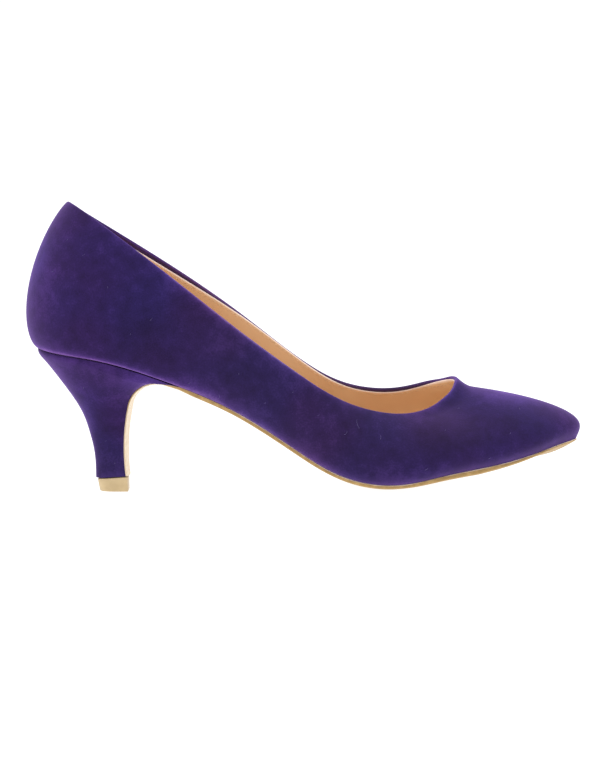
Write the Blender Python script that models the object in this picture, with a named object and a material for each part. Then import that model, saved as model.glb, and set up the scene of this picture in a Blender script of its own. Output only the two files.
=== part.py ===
"""A right-foot pump with a pointed toe and a low curved heel.

The upper is a lasted suede wall, open at the collar and underneath, where its edge turns in
as a margin. An insole lies inside on that margin. A thin leather sole runs from the toe
through the waist and on down the front of the heel block, which stands on a hard top piece.
+X points to the toe, +Y to the inner side of the foot and +Z up. Lengths are in metres.
"""

import math
from collections import namedtuple

import bmesh
import bpy
import numpy as np
from mathutils import Vector

MM = 0.001

# Driving sizes
LENGTH = 240.0 * MM
BALL_WIDTH = 73.5 * MM
HEEL_HEIGHT = 63.1 * MM
WALL = 1.8 * MM
MARGIN_SHARE = 0.34
INSOLE_THICKNESS = 1.8 * MM
INSOLE_INSET = 0.045
SOLE_INSET = 0.012
SEAT_PROUD = 0.012
GAP = 0.3 * MM

# The section tables are drawn on a sample shoe of these sizes in millimetres; GRADE takes them to metres
SAMPLE_LENGTH = 240.0
SAMPLE_BALL_WIDTH = 73.5
SAMPLE_HEEL_HEIGHT = 63.1
GRADE = Vector((LENGTH / SAMPLE_LENGTH, BALL_WIDTH / SAMPLE_BALL_WIDTH, HEEL_HEIGHT / SAMPLE_HEEL_HEIGHT))

# Heel block and top piece
TIP_BACK_HEIGHT = 5.6 * MM
TIP_FRONT_HEIGHT = 6.4 * MM
TIP_BACK = 30.2 * GRADE.x
TIP_FRONT = 43.6 * GRADE.x
TIP_HALF_WIDTH = 6.6 * MM
TIP_TAPER = 0.94
TIP_ROUNDNESS = 2.4
TIP_BEVEL = 0.4 * MM

# Front of the heel: a tight hollow under the waist, then a long curve to the top piece, bowed across
BREAST_RADIUS = 14.0 * MM
BREAST_CENTRE = (58.1 * GRADE.x, 34.9 * GRADE.z)
BREAST_START = math.radians(78.0)
BREAST_TURN = math.radians(167.0)
FRONT_RADIUS = 95.0 * MM
BREAST_BOW = 1.1 * MM

# Surfaces
SUEDE_PURPLE = (0.043, 0.022, 0.115)
SOCK_TAN = (0.48, 0.27, 0.13)
SOLE_TAN = (0.46, 0.32, 0.10)
TIP_BEIGE = (0.66, 0.50, 0.29)
SUEDE_ROUGHNESS = 0.95
SOCK_ROUGHNESS = 0.6
SOLE_ROUGHNESS = 0.5
TIP_ROUGHNESS = 0.45

# Edge of the bottom: distance from the back of the heel, half widths, heights at both edges and the middle
Feather = namedtuple("Feather", "place along lateral medial lateral_z medial_z keel_z")
FEATHER = (
    Feather("heel back", 5.7, 0.0, 0.0, 63.1, 63.1, 62.0),
    Feather("heel quarter", 12.5, 15.2, 15.2, 62.0, 62.0, 60.0),
    Feather("heel side", 33.0, 24.3, 24.3, 58.8, 58.8, 56.6),
    Feather("heel front", 60.0, 23.0, 22.0, 50.0, 50.7, 48.4),
    Feather("waist", 90.0, 20.5, 17.5, 36.4, 38.2, 35.0),
    Feather("arch", 116.0, 25.6, 19.5, 20.2, 22.5, 18.2),
    Feather("joint", 139.0, 35.2, 30.0, 7.9, 9.5, 5.0),
    Feather("ball", 160.0, 37.3, 36.2, 4.9, 4.6, 1.4),
    Feather("tread front", 181.0, 31.5, 34.5, 7.9, 6.6, 4.7),
    Feather("vamp", 202.5, 22.3, 26.5, 10.9, 9.8, 8.2),
    Feather("toe side", 221.0, 13.2, 18.0, 14.9, 14.2, 13.1),
    Feather("toe quarter", 233.8, 3.6, 11.2, 18.3, 18.0, 17.6),
    Feather("toe tip", 239.1, -4.0, 4.0, 19.2, 19.2, 18.9),
)

# Edge of the opening, and how far it flares up at the throat
Topline = namedtuple("Topline", "place along lateral medial lateral_z medial_z lip")
TOPLINE = (
    Topline("heel back", 20.0, 0.0, 0.0, 126.2, 126.2, 0.0),
    Topline("heel quarter", 26.0, 13.5, 13.5, 123.6, 121.1, 0.0),
    Topline("heel side", 45.0, 23.0, 22.8, 110.2, 108.3, 0.0),
    Topline("heel front", 69.0, 26.0, 25.0, 91.4, 92.4, 0.0),
    Topline("waist", 95.0, 27.3, 26.0, 70.4, 73.3, 0.0),
    Topline("arch", 120.0, 28.3, 27.0, 51.6, 53.5, 0.0),
    Topline("joint", 141.5, 28.0, 27.5, 38.8, 42.2, 0.0),
    Topline("ball", 160.0, 24.8, 26.2, 34.0, 40.2, 0.2),
    Topline("tread front", 173.5, 18.3, 21.0, 34.1, 42.1, 1.3),
    Topline("vamp", 180.6, 11.5, 14.8, 36.4, 42.7, 2.7),
    Topline("toe side", 184.9, 5.8, 9.9, 39.4, 43.4, 3.4),
    Topline("toe quarter", 186.9, 0.5, 5.2, 42.1, 43.0, 4.0),
    Topline("toe tip", 187.2, -2.5, 2.5, 42.6, 42.6, 4.1),
)
LIP_START = 0.87

# Roundness of the wall between those edges: how far it stands out, how fast it rises and falls
Fullness = namedtuple("Fullness", "place lateral medial rise fall")
FULLNESS = (
    Fullness("heel back", 9.5, 9.5, 0.58, 0.80),
    Fullness("heel quarter", 8.0, 8.0, 0.58, 0.80),
    Fullness("heel side", 5.0, 5.0, 0.58, 0.80),
    Fullness("heel front", 4.5, 4.2, 0.58, 0.80),
    Fullness("waist", 4.0, 3.2, 0.58, 0.80),
    Fullness("arch", 4.5, 3.6, 0.55, 0.80),
    Fullness("joint", 6.0, 5.0, 0.50, 0.80),
    Fullness("ball", 7.5, 6.5, 0.44, 0.82),
    Fullness("tread front", 9.0, 8.2, 0.38, 0.88),
    Fullness("vamp", 9.4, 9.0, 0.33, 0.94),
    Fullness("toe side", 9.9, 9.6, 0.27, 0.87),
    Fullness("toe quarter", 9.6, 9.5, 0.24, 0.86),
    Fullness("toe tip", 9.4, 9.4, 0.24, 0.86),
)

# Thickness of the sole, from its flap on the heel to the toe
Depth = namedtuple("Depth", "place along depth")
SOLE_DEPTH = (
    Depth("flap", 60.0, 0.9),
    Depth("shank", 74.0, 1.9),
    Depth("waist", 90.0, 1.7),
    Depth("ball", 160.0, 1.5),
    Depth("vamp", 195.0, 2.1),
    Depth("toe side", 221.0, 1.0),
    Depth("toe tip", 239.1, 0.7),
)

# Back and sides of the heel block: share of its flare reached at each share of its height
Flare = namedtuple("Flare", "height back side")
HEEL_FLARE = (
    Flare(0.00, 0.030, 0.000),
    Flare(0.20, 0.048, 0.035),
    Flare(0.35, 0.122, 0.120),
    Flare(0.50, 0.237, 0.250),
    Flare(0.70, 0.517, 0.495),
    Flare(0.86, 0.788, 0.760),
    Flare(0.92, 0.900, 0.863),
    Flare(0.96, 0.974, 0.932),
    Flare(1.00, 1.000, 1.000),
)

# Mesh densities
STEPS = 4
WALL_LEVELS = 14
LEVEL_CROWDING = 1.4
MARGIN_RINGS = 2
PLATE_RINGS = 4
HEEL_LEVELS = 13
TIP_SIDES = 14
HEEL_CENTRE = 30.0 * GRADE.x
TOE_CENTRE = 220.0 * GRADE.x
BOTTOM_ROUND = 1.8
INSOLE_STRIDE = 2
NUDGE = 0.1 * MM
WELD = 0.02 * MM

ROWS = len(FEATHER)
COLUMNS = STEPS * 2 * (ROWS - 1)
TOE_COLUMN = COLUMNS // 2
SEAT_FRONT = [row.place for row in FEATHER].index("heel front") * STEPS
SOLE_BACK = SEAT_FRONT + 1


def smooth_curve(knots, points, period=None):
    """Cubic curve through the points at their knots; a period closes it on itself."""
    knots = np.asarray(knots, float)
    points = np.asarray(points, float).reshape(len(knots), -1)
    if period:
        knots = np.append(knots, knots[0] + period)
        points = np.vstack([points, points[:1]])
    last = len(knots) - 1
    gap = np.diff(knots)
    slope = np.diff(points, axis=0) / gap[:, None]
    system = np.eye(last + 1)
    bend_source = np.zeros_like(points)
    for k in range(1, last):
        system[k, k - 1:k + 2] = gap[k - 1], 2 * (gap[k - 1] + gap[k]), gap[k]
        bend_source[k] = 6 * (slope[k] - slope[k - 1])
    if period:
        system[0, 0] = 2 * (gap[-1] + gap[0])
        system[0, 1] = gap[0]
        system[0, last - 1] = gap[-1]
        bend_source[0] = 6 * (slope[0] - slope[-1])
        system[last, 0] = -1
    bend = np.linalg.solve(system, bend_source)

    def at(where):
        where = np.atleast_1d(np.asarray(where, float))
        if period:
            where = knots[0] + (where - knots[0]) % period
        k = np.clip(np.searchsorted(knots, where, side="right") - 1, 0, last - 1)
        span = gap[k][:, None]
        right = (where - knots[k])[:, None] / span
        left = 1 - right
        swing = (left ** 3 - left) * bend[k] + (right ** 3 - right) * bend[k + 1]
        return left * points[k] + right * points[k + 1] + swing * span ** 2 / 6

    return at


def around(table, lateral_columns, medial_columns):
    """Rows of a table in loop order: heel to toe on the outer side, back on the inner side."""
    outer = [[getattr(row, name) for name in lateral_columns] for row in table]
    inner = [[getattr(row, name) for name in medial_columns] for row in table[-2:0:-1]]
    return np.array(outer + inner, float)


def edge_loop(table):
    """Graded points of an edge of the upper, in loop order."""
    loop = around(table, ("along", "lateral", "lateral_z"), ("along", "medial", "medial_z"))
    loop[:ROWS, 1] *= -1
    return loop * np.array(GRADE)


def unit(vectors):
    return vectors / np.linalg.norm(vectors, axis=-1, keepdims=True)


# Curves round the last, read at every column
feather_rows = edge_loop(FEATHER)
steps_between = np.linalg.norm(np.roll(feather_rows, -1, axis=0) - feather_rows, axis=1)
loop_knots = np.concatenate([[0.0], np.cumsum(steps_between)[:-1]])
loop_length = steps_between.sum()
column_places = np.concatenate([
    knot + step * np.arange(STEPS) / STEPS for knot, step in zip(loop_knots, steps_between)])
feather_curve = smooth_curve(loop_knots, feather_rows, loop_length)
topline_curve = smooth_curve(loop_knots, edge_loop(TOPLINE), loop_length)
fullness_curve = smooth_curve(
    loop_knots, around(FULLNESS, ("lateral", "rise", "fall"), ("medial", "rise", "fall")), loop_length)
lip_curve = smooth_curve(loop_knots, around(TOPLINE, ("lip",), ("lip",)), loop_length)
keel_curve = smooth_curve([row.along * GRADE.x for row in FEATHER], [row.keel_z * GRADE.z for row in FEATHER])
flare_curve = smooth_curve([row.height for row in HEEL_FLARE], [(row.back, row.side) for row in HEEL_FLARE])

feather = feather_curve(column_places)
feather_run = feather_curve(column_places + NUDGE) - feather_curve(column_places - NUDGE)
topline_run = topline_curve(column_places + NUDGE) - topline_curve(column_places - NUDGE)
topline = topline_curve(column_places)

# Middle line of the bottom: each column shares its point with the column across the shoe
opposite = (-np.arange(COLUMNS)) % COLUMNS
spine = (feather + feather[opposite]) / 2
spine_start = np.array([np.interp(HEEL_CENTRE, spine[:TOE_COLUMN, 0], spine[:TOE_COLUMN, 1]),
                        np.interp(TOE_CENTRE, spine[:TOE_COLUMN, 0], spine[:TOE_COLUMN, 1])])
spine[:, 1] = np.where(spine[:, 0] < HEEL_CENTRE, spine_start[0], spine[:, 1])
spine[:, 1] = np.where(spine[:, 0] > TOE_CENTRE, spine_start[1], spine[:, 1])
spine[:, 0] = np.clip(spine[:, 0], HEEL_CENTRE, TOE_CENTRE)
spine[:, 2] = keel_curve(spine[:, 0])[:, 0]


def bottom(column, share):
    """Point of the upper's underside on a spoke from the middle line (0) to the edge (1)."""
    start = spine[column]
    end = feather[column]
    point = start + (end - start) * share
    point[2] = start[2] + (end[2] - start[2]) * share ** BOTTOM_ROUND
    return point


def wall(column, level):
    """Point of the upper's outer face between the bottom edge (0) and the topline (1)."""
    bulge, rise, fall = fullness_curve(column_places[column])[0]
    rib = topline[column] - feather[column]
    run = feather_run[column] * (1 - level) + topline_run[column] * level
    outward = unit(np.cross(run, rib))
    fullest = rise / (rise + fall)
    peak = fullest ** rise * (1 - fullest) ** fall
    stand = bulge * MM * level ** rise * (1 - level) ** fall / peak
    lip = lip_curve(column_places[column])[0, 0] * MM
    lift = lip * max(0.0, (level - LIP_START) / (1 - LIP_START)) ** 2
    return feather[column] + rib * level + outward * stand + np.array((0.0, 0.0, lift))


def breast(share):
    """Edge of the heel's front, its way out and its crown, from the waist (0) to the top piece (1)."""
    centre = np.array(BREAST_CENTRE)
    radius = BREAST_RADIUS
    turn = np.array((math.cos(BREAST_TURN), math.sin(BREAST_TURN)))
    front_centre = centre + turn * (BREAST_RADIUS - FRONT_RADIUS)
    front_end = math.pi + math.asin((front_centre[1] - TIP_FRONT_HEIGHT - GAP) / FRONT_RADIUS)
    hollow = BREAST_RADIUS * (BREAST_TURN - BREAST_START)
    travel = share * (hollow + FRONT_RADIUS * (front_end - BREAST_TURN))
    angle = BREAST_START + travel / BREAST_RADIUS
    if travel > hollow:
        centre = front_centre
        radius = FRONT_RADIUS
        angle = BREAST_TURN + (travel - hollow) / FRONT_RADIUS
    outward = np.array((-math.cos(angle), -math.sin(angle)))
    crown_left = 1 - min(1.0, travel / hollow)
    return centre - outward * radius, outward, crown_left


def material(name, colour, roughness):
    """Principled surface of one piece."""
    surface = bpy.data.materials.new(name)
    surface.use_nodes = True
    shader = surface.node_tree.nodes["Principled BSDF"]
    shader.inputs["Base Color"].default_value = (*colour, 1.0)
    shader.inputs["Roughness"].default_value = roughness
    shader.inputs["Metallic"].default_value = 0.0
    return surface


def add_sheet(bm, rows, closed=False):
    """Faces over rows of points; a closed sheet joins its last column to its first."""
    grid = [[bm.verts.new(point) for point in row] for row in rows]
    columns = len(grid[0])
    for low, high in zip(grid, grid[1:]):
        for k in range(columns if closed else columns - 1):
            after = (k + 1) % columns
            bm.faces.new((low[k], low[after], high[after], high[k]))


def finish(bm, name, surface, parent):
    """Smooth-shaded object of a mesh, hung on the shoe's empty."""
    mesh = bpy.data.meshes.new(name)
    bm.to_mesh(mesh)
    bm.free()
    mesh.shade_smooth()
    piece = bpy.data.objects.new(name, mesh)
    piece.data.materials.append(surface)
    piece.parent = parent
    bpy.context.scene.collection.objects.link(piece)
    return piece


def thicken(bm, depths):
    """Closed plate of an open sheet, pushed along its normals by a depth for each vertex."""
    bm.normal_update()
    push = bm.verts.layers.float_vector.new("push")
    for vert in bm.verts:
        vert[push] = vert.normal * depths(vert.co)
    grown = bmesh.ops.extrude_face_region(bm, geom=bm.faces[:], use_keep_orig=True)
    for vert in grown["geom"]:
        if isinstance(vert, bmesh.types.BMVert):
            vert.co += vert[push]
    bmesh.ops.recalc_face_normals(bm, faces=bm.faces[:])


def make_upper(parent):
    """Suede wall: turned-in margin underneath, then ribs up to the topline, all one skin with depth."""
    rings = []
    for k in range(MARGIN_RINGS):
        share = 1 - MARGIN_SHARE * (1 - k / MARGIN_RINGS)
        rings.append([bottom(column, share) for column in range(COLUMNS)])
    for k in range(WALL_LEVELS + 1):
        level = ((1 - math.cos(math.pi * k / WALL_LEVELS)) / 2) ** LEVEL_CROWDING
        rings.append([wall(column, level) for column in range(COLUMNS)])
    bm = bmesh.new()
    add_sheet(bm, rings, closed=True)
    upper = finish(bm, "upper", material("purple suede", SUEDE_PURPLE, SUEDE_ROUGHNESS), parent)
    thickness = upper.modifiers.new("wall", "SOLIDIFY")
    thickness.thickness = WALL
    thickness.offset = -1.0
    thickness.use_even_offset = True
    thickness.use_quality_normals = True
    return upper


def plate_rows(columns, inset, drop):
    """Rows across the bottom, from the outer edge over the middle line to the inner edge."""
    shares = [(1 - inset) * (1 - k / PLATE_RINGS) for k in range(PLATE_RINGS + 1)]
    rows = []
    for column in columns:
        outer = [bottom(column, share) for share in shares]
        inner = [bottom(opposite[column], share) for share in shares[-2::-1]]
        rows.append([point + np.array((0.0, 0.0, drop)) for point in outer + inner])
    return rows


def make_insole(parent):
    """Board with its sock, lying on the upper's margin inside the shoe."""
    bm = bmesh.new()
    add_sheet(bm, plate_rows(range(TOE_COLUMN, -1, -INSOLE_STRIDE), INSOLE_INSET, 0.0))
    bmesh.ops.remove_doubles(bm, verts=bm.verts[:], dist=WELD)
    bm.normal_update()
    for vert in bm.verts:
        vert.co += vert.normal * (WALL + GAP)
    thicken(bm, lambda place: INSOLE_THICKNESS)
    return finish(bm, "insole", material("tan sock leather", SOCK_TAN, SOCK_ROUGHNESS), parent)


def heel_corner(share):
    """Half width of the heel's front face at a share of its way down."""
    side = flare_curve(1 - share)[0, 1]
    seat = abs(bottom(SEAT_FRONT, 1 + SEAT_PROUD)[1])
    return TIP_HALF_WIDTH + (seat - TIP_HALF_WIDTH) * side


def breast_row(share, push, across):
    """Points across the heel's front face, moved out from it."""
    (x, z), outward, crown_left = breast(share)
    half = heel_corner(share)
    crown = bottom(SEAT_FRONT, 1.0)[2] - spine[SEAT_FRONT][2]
    row = []
    for place in across:
        sag = crown * (1 - abs(place) ** BOTTOM_ROUND) * crown_left
        out = push + BREAST_BOW * (1 - place ** 2) * (1 - crown_left)
        row.append(np.array((x + outward[0] * out, place * half, z + outward[1] * out - sag)))
    return row


def make_outsole(parent):
    """Leather sole from the toe to the waist, then on down the heel's front as a flap."""
    across = [1 - k / PLATE_RINGS for k in range(PLATE_RINGS + 1)]
    across = [-place for place in across] + across[-2::-1]
    rows = plate_rows(range(TOE_COLUMN, SOLE_BACK - 1, -1), SOLE_INSET, -GAP)
    rows += [breast_row(k / HEEL_LEVELS, GAP, across) for k in range(HEEL_LEVELS + 1)]
    bm = bmesh.new()
    add_sheet(bm, rows[::-1])
    bmesh.ops.remove_doubles(bm, verts=bm.verts[:], dist=WELD)
    places = [row.along * GRADE.x for row in SOLE_DEPTH]
    depths = [row.depth * MM for row in SOLE_DEPTH]
    thicken(bm, lambda spot: float(np.interp(spot.x, places, depths)))
    for vert in bm.verts:
        vert.co.z = max(vert.co.z, 0.0)
    return finish(bm, "outsole", material("sole leather", SOLE_TAN, SOLE_ROUGHNESS), parent)


def tip_outline(share, scale=1.0):
    """Half width of the top piece at a share of its length from the back."""
    return TIP_HALF_WIDTH * scale * (1 - (1 - share) ** TIP_ROUNDNESS) ** (1 / TIP_ROUNDNESS)


def make_heel(parent):
    """Suede-covered block: cupped under the upper, flared at the back and hollowed in front."""
    columns = [k % COLUMNS for k in range(SEAT_FRONT, -SEAT_FRONT - 1, -1)]
    shares = [(1 + SEAT_PROUD) * (1 - k / PLATE_RINGS) for k in range(PLATE_RINGS + 1)]
    seat = [[bottom(column, share) - np.array((0.0, 0.0, GAP)) for column in columns] for share in shares]
    rim = seat[0]
    back_x = min(point[0] for point in rim)
    front_x = max(point[0] for point in rim)
    levels = []
    for k in range(HEEL_LEVELS + 1):
        down = k / HEEL_LEVELS
        back_flare, side_flare = flare_curve(1 - down)[0]
        breast_x, breast_z = breast(down)[0]
        edge_x = breast_x if k else front_x
        level = []
        for point in rim:
            share = (point[0] - back_x) / (front_x - back_x)
            tip_z = TIP_BACK_HEIGHT + (TIP_FRONT_HEIGHT - TIP_BACK_HEIGHT) * share + GAP
            side = math.copysign(tip_outline(share), point[1]) if share > 0 else 0.0
            back = TIP_BACK + (back_x - TIP_BACK) * back_flare
            x = back + (edge_x - back) * share
            y = side + (point[1] - side) * side_flare
            z = tip_z + (point[2] - tip_z) * (1 - down)
            follow = share ** 3 if k else 0.0
            level.append(np.array((x, y, z + (breast_z - z) * follow)))
        levels.append(level)
    front = []
    for k, level in enumerate(levels):
        outer, inner = level[0], level[-1]
        crown = bottom(SEAT_FRONT, 1.0)[2] - spine[SEAT_FRONT][2]
        _, outward, crown_left = breast(k / HEEL_LEVELS)
        row = []
        for j in range(2 * PLATE_RINGS + 1):
            place = j / PLATE_RINGS - 1
            point = outer + (inner - outer) * (place + 1) / 2
            point[2] -= crown * (1 - abs(place) ** BOTTOM_ROUND) * crown_left
            point[[0, 2]] += outward * BREAST_BOW * (1 - place ** 2) * (1 - crown_left)
            row.append(point)
        front.append(row)
    front[0] = [ring[0] for ring in seat] + [ring[-1] for ring in seat[-2::-1]]
    foot = levels[-1]
    middle = len(foot) // 2
    sole_rows = [[foot[middle - k] + (foot[middle + k] - foot[middle - k]) * j / (2 * PLATE_RINGS)
                  for j in range(2 * PLATE_RINGS + 1)] for k in range(middle)]
    sole_rows.append(front[-1])
    bm = bmesh.new()
    add_sheet(bm, seat)
    add_sheet(bm, levels)
    add_sheet(bm, front)
    add_sheet(bm, sole_rows)
    bmesh.ops.remove_doubles(bm, verts=bm.verts[:], dist=WELD)
    bmesh.ops.recalc_face_normals(bm, faces=bm.faces[:])
    return finish(bm, "heel", material("heel suede", SUEDE_PURPLE, SUEDE_ROUGHNESS), parent)


def make_top_piece(parent):
    """Hard D-shaped tip under the heel, a little smaller at the floor."""
    rings = []
    for level, scale in ((1.0, 1.0), (0.0, TIP_TAPER)):
        ring = []
        for k in range(-TIP_SIDES, TIP_SIDES + 1):
            share = 1 - math.cos(math.pi / 2 * k / TIP_SIDES)
            x = TIP_FRONT - (TIP_FRONT - TIP_BACK) * scale * (1 - share)
            top = TIP_BACK_HEIGHT + (TIP_FRONT_HEIGHT - TIP_BACK_HEIGHT) * share
            ring.append((x, math.copysign(tip_outline(share, scale), k), top * level))
        rings.append(ring)
    bm = bmesh.new()
    add_sheet(bm, rings, closed=True)
    for ring in (bm.verts[:len(rings[0])], bm.verts[len(rings[0]):]):
        bm.faces.new(ring)
    bmesh.ops.recalc_face_normals(bm, faces=bm.faces[:])
    piece = finish(bm, "top_piece", material("hard top piece", TIP_BEIGE, TIP_ROUGHNESS), parent)
    edge = piece.modifiers.new("edge", "BEVEL")
    edge.width = TIP_BEVEL
    edge.segments = 1
    edge.limit_method = "ANGLE"
    return piece


def stand_on_floor(shoe, pieces):
    """Moves the empty so that the shoe's box is centred over the origin."""
    bpy.context.view_layer.update()
    graph = bpy.context.evaluated_depsgraph_get()
    points = []
    for piece in pieces:
        seen = piece.evaluated_get(graph)
        points += [seen.matrix_world @ vert.co for vert in seen.data.vertices]
    for axis in (0, 1):
        values = [point[axis] for point in points]
        shoe.location[axis] -= (min(values) + max(values)) / 2


for leftover in list(bpy.data.objects):
    bpy.data.objects.remove(leftover, do_unlink=True)
shoe = bpy.data.objects.new("shoe", None)
bpy.context.scene.collection.objects.link(shoe)
makers = (make_upper, make_insole, make_outsole, make_heel, make_top_piece)
stand_on_floor(shoe, [make(shoe) for make in makers])
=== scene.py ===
"""Looks of a dark purple suede pump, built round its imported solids.

The sections follow the shoe as it is put together: sock, lining, suede upper, topline seam, heel, sole,
top piece, and last the lint on its nap and the plain studio that it stands in.
"""

import math
from collections import namedtuple

import bmesh
import bpy
import numpy as np
from mathutils import Matrix, Vector


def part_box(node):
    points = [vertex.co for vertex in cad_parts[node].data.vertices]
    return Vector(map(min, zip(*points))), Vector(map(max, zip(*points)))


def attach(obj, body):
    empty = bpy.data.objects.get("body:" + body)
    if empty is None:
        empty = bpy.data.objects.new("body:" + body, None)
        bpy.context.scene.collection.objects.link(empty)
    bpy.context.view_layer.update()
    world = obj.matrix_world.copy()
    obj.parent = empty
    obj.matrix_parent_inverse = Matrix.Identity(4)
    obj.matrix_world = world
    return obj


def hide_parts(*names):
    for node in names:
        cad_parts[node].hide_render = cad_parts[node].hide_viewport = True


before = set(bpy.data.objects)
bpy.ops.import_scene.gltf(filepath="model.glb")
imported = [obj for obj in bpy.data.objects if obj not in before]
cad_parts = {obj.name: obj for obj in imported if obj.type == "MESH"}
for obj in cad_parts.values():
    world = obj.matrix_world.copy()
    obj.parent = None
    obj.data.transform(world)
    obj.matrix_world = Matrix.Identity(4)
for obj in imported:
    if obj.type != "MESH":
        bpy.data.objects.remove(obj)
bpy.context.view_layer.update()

# Sock
# A thin tan lining leather glued over the insole board and its foam, the last piece to go into the shoe.
# It is cut to the last's bottom and meets the lining all round.
MM = 0.001
WALL = 1.8 * MM
INSOLE_THICKNESS = 1.8 * MM
GAP = 0.3 * MM
LINING_PROUD = 0.3 * MM
SOCK_RISE = 3.4 * MM
SOCK_CROWN = 0.5 * MM
SOCK_RINGS = 24
STEPS = 20
HEEL_CENTRE = 30.0 * MM
TOE_CENTRE = 220.0 * MM
BOTTOM_ROUND = 1.8
LIP_START = 0.87
NUDGE = 0.1 * MM
WALL_CROWDING = 1.4
SKIN_LEVELS = 60
BED_REACH = 0.3
BED_LEVELS = 61
WELD = 0.01 * MM

# Edge of the last's bottom in millimetres from the heel's back: half widths, edge heights, middle height
Feather = namedtuple("Feather", "place along lateral medial lateral_z medial_z keel_z")
FEATHER = (
    Feather("heel back", 5.7, 0.0, 0.0, 63.1, 63.1, 62.0),
    Feather("heel quarter", 12.5, 15.2, 15.2, 62.0, 62.0, 60.0),
    Feather("heel side", 33.0, 24.3, 24.3, 58.8, 58.8, 56.6),
    Feather("heel front", 60.0, 23.0, 22.0, 50.0, 50.7, 48.4),
    Feather("waist", 90.0, 20.5, 17.5, 36.4, 38.2, 35.0),
    Feather("arch", 116.0, 25.6, 19.5, 20.2, 22.5, 18.2),
    Feather("joint", 139.0, 35.2, 30.0, 7.9, 9.5, 5.0),
    Feather("ball", 160.0, 37.3, 36.2, 4.9, 4.6, 1.4),
    Feather("tread front", 181.0, 31.5, 34.5, 7.9, 6.6, 4.7),
    Feather("vamp", 202.5, 22.3, 26.5, 10.9, 9.8, 8.2),
    Feather("toe side", 221.0, 13.2, 18.0, 14.9, 14.2, 13.1),
    Feather("toe quarter", 233.8, 3.6, 11.2, 18.3, 18.0, 17.6),
    Feather("toe tip", 239.1, -4.0, 4.0, 19.2, 19.2, 18.9),
)

# Edge of the opening, how far it flares up at the throat, and how deep the suede is folded inside it
Topline = namedtuple("Topline", "place along lateral medial lateral_z medial_z lip lateral_fold medial_fold")
TOPLINE = (
    Topline("heel back", 20.0, 0.0, 0.0, 126.2, 126.2, 0.0, 1.0, 1.0),
    Topline("heel quarter", 26.0, 13.5, 13.5, 123.6, 121.1, 0.0, 0.8, 1.3),
    Topline("heel side", 45.0, 23.0, 22.8, 110.2, 108.3, 0.0, 0.6, 1.4),
    Topline("heel front", 69.0, 26.0, 25.0, 91.4, 92.4, 0.0, 0.5, 1.0),
    Topline("waist", 95.0, 27.3, 26.0, 70.4, 73.3, 0.0, 0.5, -0.2),
    Topline("arch", 120.0, 28.3, 27.0, 51.6, 53.5, 0.0, 0.5, -0.7),
    Topline("joint", 141.5, 28.0, 27.5, 38.8, 42.2, 0.0, 0.5, -0.2),
    Topline("ball", 160.0, 24.8, 26.2, 34.0, 40.2, 0.2, 0.5, 0.0),
    Topline("tread front", 173.5, 18.3, 21.0, 34.1, 42.1, 1.3, 0.5, -0.3),
    Topline("vamp", 180.6, 11.5, 14.8, 36.4, 42.7, 2.7, 0.4, -0.6),
    Topline("toe side", 184.9, 5.8, 9.9, 39.4, 43.4, 3.4, -0.2, -0.5),
    Topline("toe quarter", 186.9, 0.5, 5.2, 42.1, 43.0, 4.0, -0.5, -0.5),
    Topline("toe tip", 187.2, -2.5, 2.5, 42.6, 42.6, 4.1, -0.5, -0.5),
)

# Roundness of the wall between those edges: how far it stands out, how fast it rises and falls
Fullness = namedtuple("Fullness", "place lateral medial rise fall")
FULLNESS = (
    Fullness("heel back", 9.5, 9.5, 0.58, 0.80),
    Fullness("heel quarter", 8.0, 8.0, 0.58, 0.80),
    Fullness("heel side", 5.0, 5.0, 0.58, 0.80),
    Fullness("heel front", 4.5, 4.2, 0.58, 0.80),
    Fullness("waist", 4.0, 3.2, 0.58, 0.80),
    Fullness("arch", 4.5, 3.6, 0.55, 0.80),
    Fullness("joint", 6.0, 5.0, 0.50, 0.80),
    Fullness("ball", 7.5, 6.5, 0.44, 0.82),
    Fullness("tread front", 9.0, 8.2, 0.38, 0.88),
    Fullness("vamp", 9.4, 9.0, 0.33, 0.94),
    Fullness("toe side", 9.9, 9.6, 0.27, 0.87),
    Fullness("toe quarter", 9.6, 9.5, 0.24, 0.86),
    Fullness("toe tip", 9.4, 9.4, 0.24, 0.86),
)

ROWS = len(FEATHER)
COLUMNS = STEPS * 2 * (ROWS - 1)
TOE_COLUMN = COLUMNS // 2


def smooth_curve(knots, points, period=None):
    """Cubic curve through the points at their knots; a period closes it on itself."""
    knots = np.asarray(knots, float)
    points = np.asarray(points, float).reshape(len(knots), -1)
    if period:
        knots = np.append(knots, knots[0] + period)
        points = np.vstack([points, points[:1]])
    last = len(knots) - 1
    gap = np.diff(knots)
    slope = np.diff(points, axis=0) / gap[:, None]
    system = np.eye(last + 1)
    bend_source = np.zeros_like(points)
    for k in range(1, last):
        system[k, k - 1:k + 2] = gap[k - 1], 2 * (gap[k - 1] + gap[k]), gap[k]
        bend_source[k] = 6 * (slope[k] - slope[k - 1])
    if period:
        system[0, 0] = 2 * (gap[-1] + gap[0])
        system[0, 1] = gap[0]
        system[0, last - 1] = gap[-1]
        bend_source[0] = 6 * (slope[0] - slope[-1])
        system[last, 0] = -1
    bend = np.linalg.solve(system, bend_source)

    def at(where):
        where = np.atleast_1d(np.asarray(where, float))
        if period:
            where = knots[0] + (where - knots[0]) % period
        k = np.clip(np.searchsorted(knots, where, side="right") - 1, 0, last - 1)
        span = gap[k][:, None]
        right = (where - knots[k])[:, None] / span
        left = 1 - right
        swing = (left ** 3 - left) * bend[k] + (right ** 3 - right) * bend[k + 1]
        return left * points[k] + right * points[k + 1] + swing * span ** 2 / 6

    return at


def around(table, lateral_columns, medial_columns):
    """Rows of a table in loop order: heel to toe on the outer side, back on the inner side."""
    outer = [[getattr(row, name) for name in lateral_columns] for row in table]
    inner = [[getattr(row, name) for name in medial_columns] for row in table[-2:0:-1]]
    return np.array(outer + inner, float)


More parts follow.
